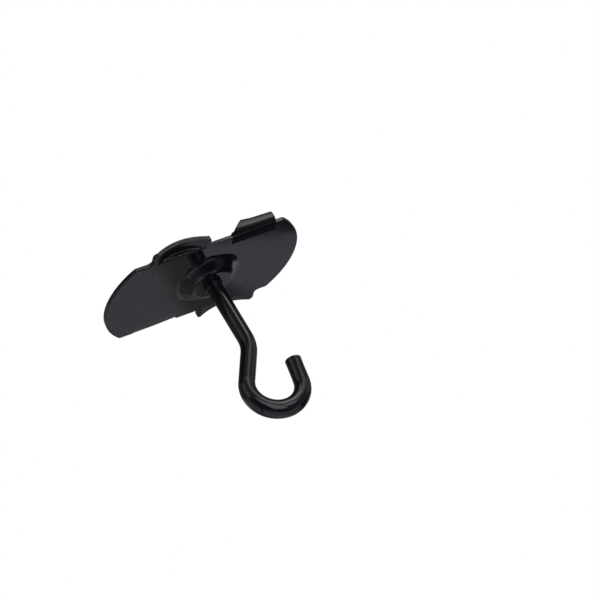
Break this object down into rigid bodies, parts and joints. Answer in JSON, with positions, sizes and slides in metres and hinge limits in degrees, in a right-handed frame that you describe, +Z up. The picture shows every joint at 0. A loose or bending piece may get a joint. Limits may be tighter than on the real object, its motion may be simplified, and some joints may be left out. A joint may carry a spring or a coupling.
{
  "type": "ceiling grid hook",
  "caption": "Pressed sheet-metal clip that grips a ceiling grid bar with two rolled jaws and two arched tongues, with a round wire hook headed into its central boss.",
  "frame": {"origin": "on the stem's axis, level with the clip's upper face, which rests against the underside of the ceiling grid bar", "axes": "+Z up toward the ceiling, along the stem's axis; +X along the clip's length, toward the side that the hook's mouth opens to; +Y across the clip"},
  "size_m": [0.0486, 0.0326, 0.0438],
  "materials": {
    "clip_paint": "semi-gloss black paint on pressed sheet steel",
    "hook_paint": "semi-gloss black paint on bent steel wire"
  },
  "bodies": {
    "root": {"clip": "clip_paint", "hook": "hook_paint"}
  },
  "joints": []
}
